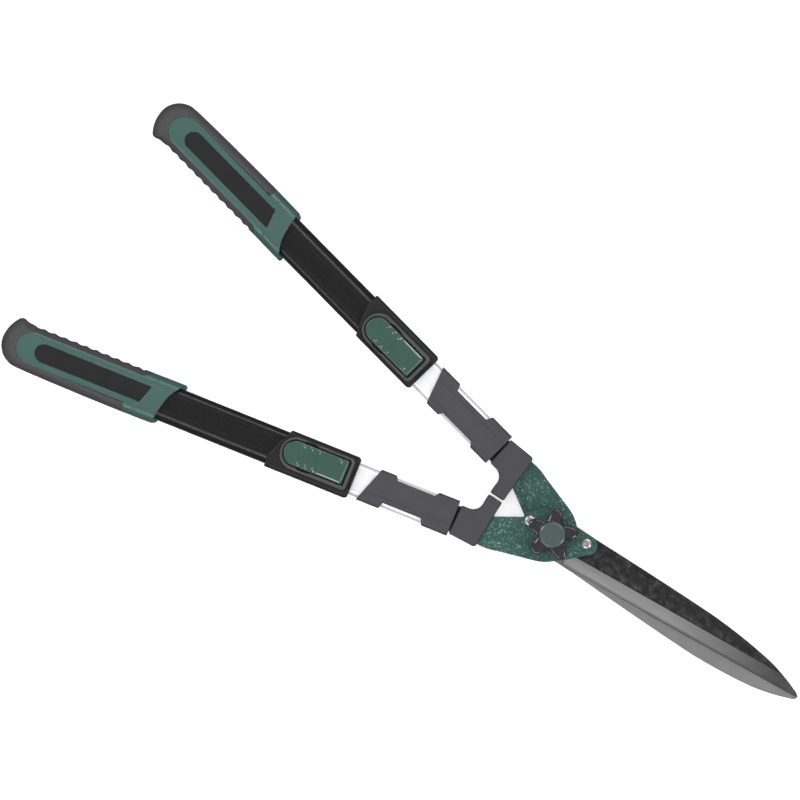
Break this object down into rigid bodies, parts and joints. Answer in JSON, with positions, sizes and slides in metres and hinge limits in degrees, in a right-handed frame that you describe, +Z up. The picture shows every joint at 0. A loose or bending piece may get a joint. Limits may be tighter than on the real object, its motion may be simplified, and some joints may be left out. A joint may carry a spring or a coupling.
{
  "type": "hedge shears",
  "caption": "Hand hedge shears with telescopic tube handles, flip-lever length locks, soft grips, long straight blades and a lobed tension knob.",
  "frame": {"origin": "on the blade pivot's axis, at the flat underside of the pivot bolt's head, which is the plane the tool rests on", "axes": "+X along the closed blades to their tips, +Z up along the pivot to the knob, +Y to the handle whose blade lies underneath"},
  "size_m": [0.6897, 0.2523, 0.0399],
  "materials": {
    "blade_steel": "hot-rolled dark oxide on the flat, ground bright bevel",
    "hammer_paint": "dark green hammer finish",
    "rivet_steel": "zinc-plated",
    "elbow_plastic": "fine-grained soft plastic",
    "cover_plastic": "fine-grained moulded plastic",
    "bare_aluminium": "satin drawn tube",
    "inner_plastic": "black nylon",
    "tube_coating": "black semi-gloss powder coat",
    "sleeve_plastic": "black satin moulded plastic",
    "lever_plastic": "green moulded plastic",
    "dark_steel": "black oxide",
    "grip_plastic": "green moulded plastic",
    "grip_rubber": "soft-touch overmould",
    "inlay_plastic": "black textured inlay",
    "bush_brass": "turned",
    "knob_plastic": "dark gloss moulded plastic",
    "cap_plastic": "grey-green moulded cap"
  },
  "bodies": {
    "left_half": {"left_blade": "blade_steel", "left_tang": "hammer_paint", "left_blade_rivets": "rivet_steel", "left_elbow": "elbow_plastic", "left_front_cover": "cover_plastic", "left_inner_tube": "bare_aluminium", "left_tang_packing": "inner_plastic", "left_tube_rivets": "rivet_steel", "left_guide_plug": "inner_plastic", "pivot_bolt": "rivet_steel", "pivot_bush": "bush_brass", "spring_washer": "rivet_steel"},
    "right_half": {"right_blade": "blade_steel", "right_tang": "hammer_paint", "right_blade_rivets": "rivet_steel", "right_elbow": "elbow_plastic", "right_front_cover": "cover_plastic", "right_inner_tube": "bare_aluminium", "right_tang_packing": "inner_plastic", "right_tube_rivets": "rivet_steel", "right_guide_plug": "inner_plastic"},
    "left_slider": {"left_outer_tube": "tube_coating", "left_lock_sleeve": "sleeve_plastic", "left_lever_pin": "dark_steel", "left_sleeve_screw": "rivet_steel", "left_tube_plug": "inner_plastic", "left_grip_core": "grip_plastic", "left_grip_rubber": "grip_rubber", "left_grip_inlays": "inlay_plastic"},
    "left_lever": {"left_lock_lever": "lever_plastic"},
    "left_shoe": {"left_lock_shoe": "dark_steel"},
    "right_slider": {"right_outer_tube": "tube_coating", "right_lock_sleeve": "sleeve_plastic", "right_lever_pin": "dark_steel", "right_sleeve_screw": "rivet_steel", "right_tube_plug": "inner_plastic", "right_grip_core": "grip_plastic", "right_grip_rubber": "grip_rubber", "right_grip_inlays": "inlay_plastic"},
    "right_lever": {"right_lock_lever": "lever_plastic"},
    "right_shoe": {"right_lock_shoe": "dark_steel"},
    "washer": {"thrust_washer": "rivet_steel"},
    "knob": {"knob": "knob_plastic", "knob_nut": "rivet_steel", "knob_cap": "cap_plastic"}
  },
  "joints": [
    {"name": "blade_pivot", "type": "hinge", "parent": "left_half", "child": "right_half", "pos_m": [0, 0, 0.014], "axis": [0, 0, 1], "range_deg": [0, 65]},
    {"name": "left_telescope", "type": "slide", "parent": "left_half", "child": "left_slider", "axis": [-0.9789, 0.2045, 0], "range_m": [0, 0.21]},
    {"name": "left_lever_lift", "type": "hinge", "parent": "left_slider", "child": "left_lever", "pos_m": [-0.16729, 0.05255, 0.0271], "axis": [0.2045, 0.9789, 0], "range_deg": [0, 95]},
    {"name": "left_shoe_rise", "type": "slide", "parent": "left_slider", "child": "left_shoe", "axis": [0, 0, 1], "range_m": [0, 0.00026]},
    {"name": "right_telescope", "type": "slide", "parent": "right_half", "child": "right_slider", "axis": [-0.9789, -0.2045, 0], "range_m": [0, 0.21]},
    {"name": "right_lever_lift", "type": "hinge", "parent": "right_slider", "child": "right_lever", "pos_m": [-0.16729, -0.05255, 0.0271], "axis": [-0.2045, 0.9789, 0], "range_deg": [0, 95]},
    {"name": "right_shoe_rise", "type": "slide", "parent": "right_slider", "child": "right_shoe", "axis": [0, 0, 1], "range_m": [0, 0.00026]},
    {"name": "knob_lift", "type": "slide", "parent": "left_half", "child": "washer", "axis": [0, 0, 1], "range_m": [0, 0.00126]},
    {"name": "knob_turn", "type": "hinge", "parent": "washer", "child": "knob", "pos_m": [0, 0, 0.024], "axis": [0, 0, 1], "range_deg": [0, 360]}
  ],
  "couplings": [
    {"joint": "left_shoe_rise", "follows": "left_lever_lift", "m_per_rad": 0.00015078},
    {"joint": "right_shoe_rise", "follows": "right_lever_lift", "m_per_rad": 0.00015078},
    {"joint": "knob_lift", "follows": "knob_turn", "m_per_rad": 0.00019894}
  ]
}
